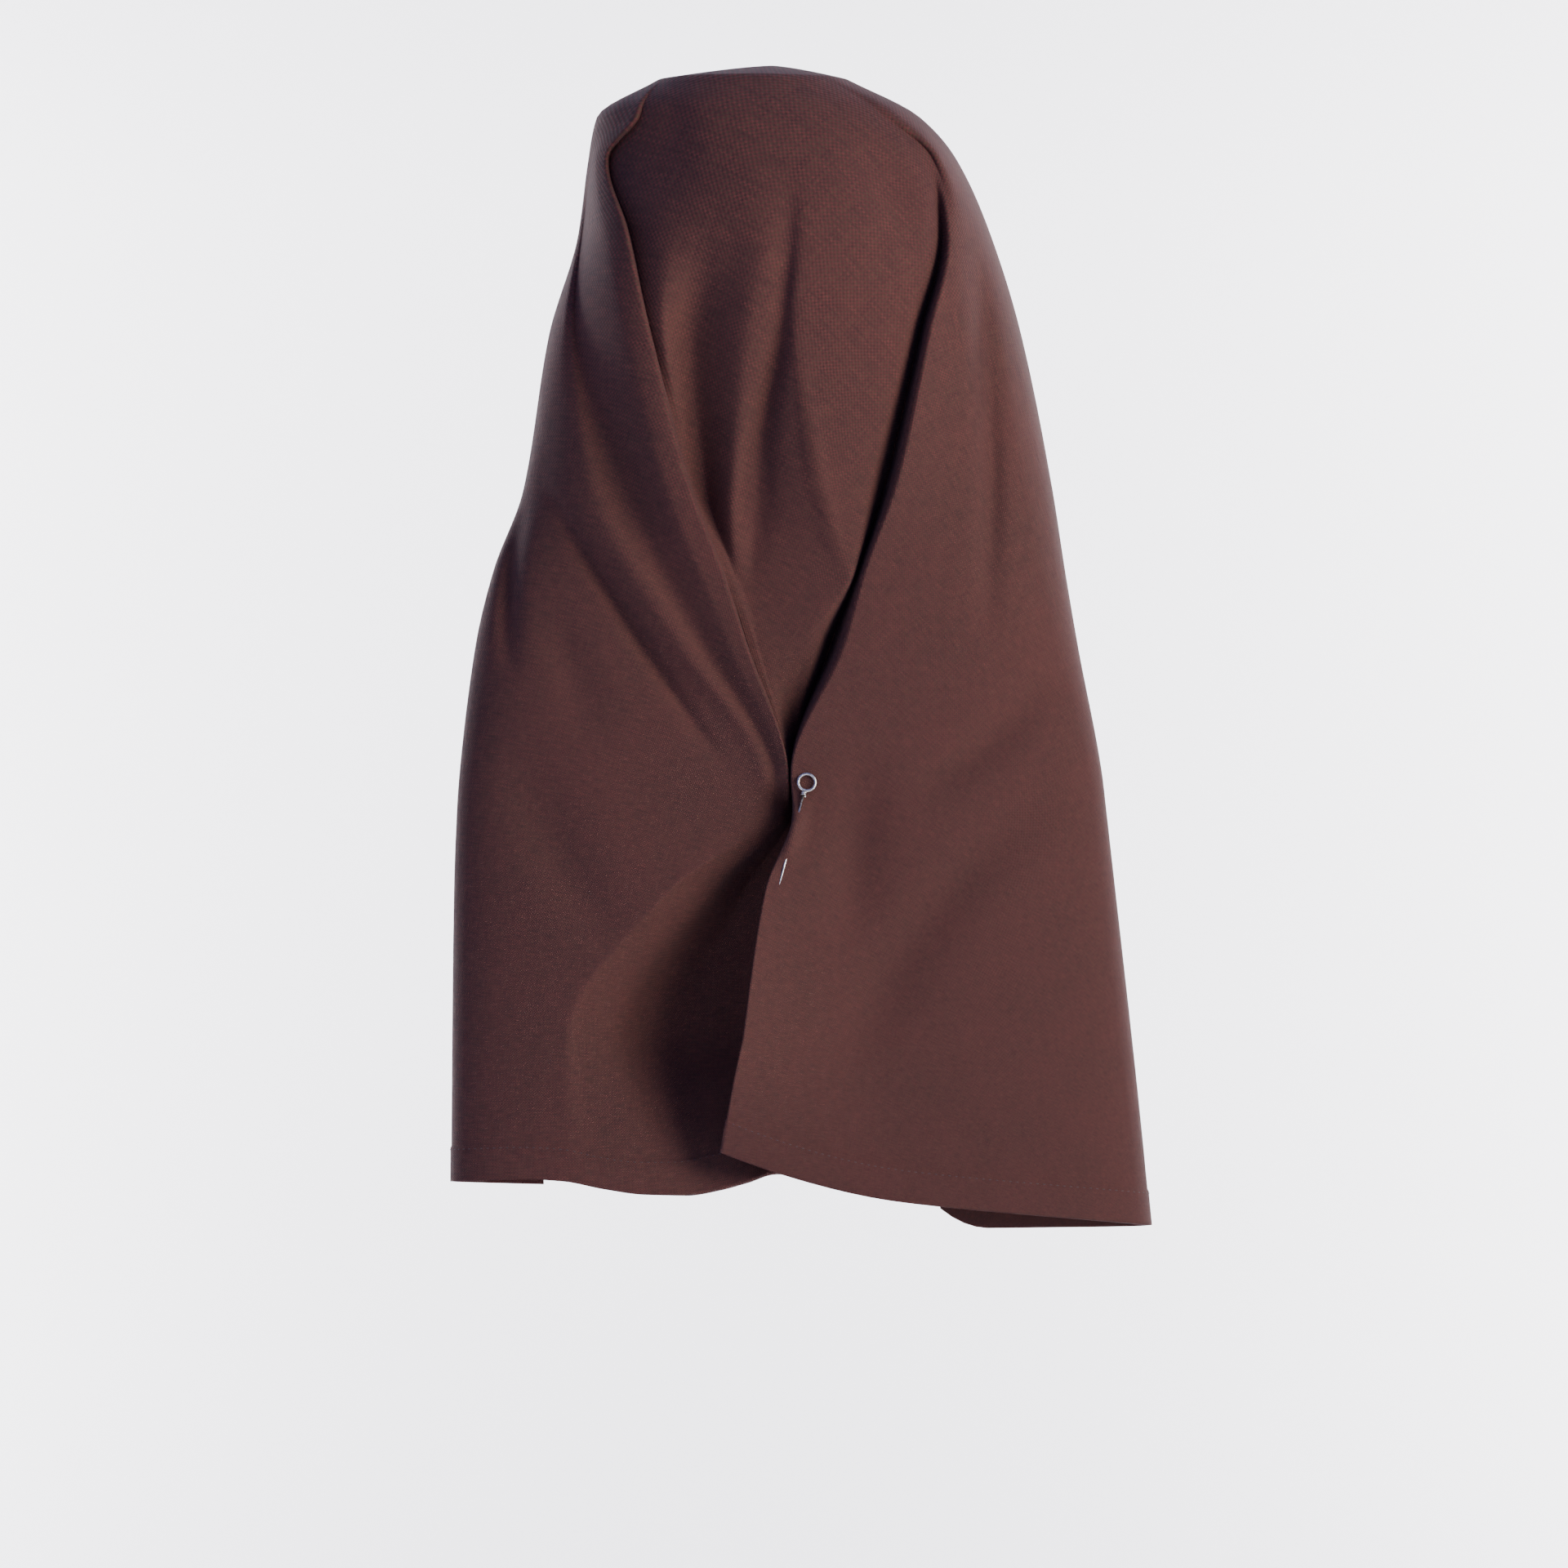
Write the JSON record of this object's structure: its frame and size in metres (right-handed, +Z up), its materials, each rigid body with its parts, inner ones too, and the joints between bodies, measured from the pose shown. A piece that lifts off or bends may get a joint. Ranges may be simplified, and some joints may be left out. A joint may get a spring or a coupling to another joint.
{
  "type": "nun veil",
  "caption": "Brown woven cloth veil in its worn form, draped over the head, drawn back, lapped and pinned at the nape with a ring-headed wire pin.",
  "frame": {"origin": "underside of the cloth on top of the crown, where the head carries the veil", "axes": "+X to the wearer's right, +Y the way the wearer faces, +Z up; the back of the veil, with the pin, faces -Y"},
  "size_m": [0.342, 0.2338, 0.5731],
  "materials": {
    "veil_cloth": "matt plain-woven reddish brown cloth",
    "pin_steel": "drawn bright wire"
  },
  "bodies": {
    "root": {"veil_cloth": "veil_cloth", "veil_pin": "pin_steel"}
  },
  "joints": []
}
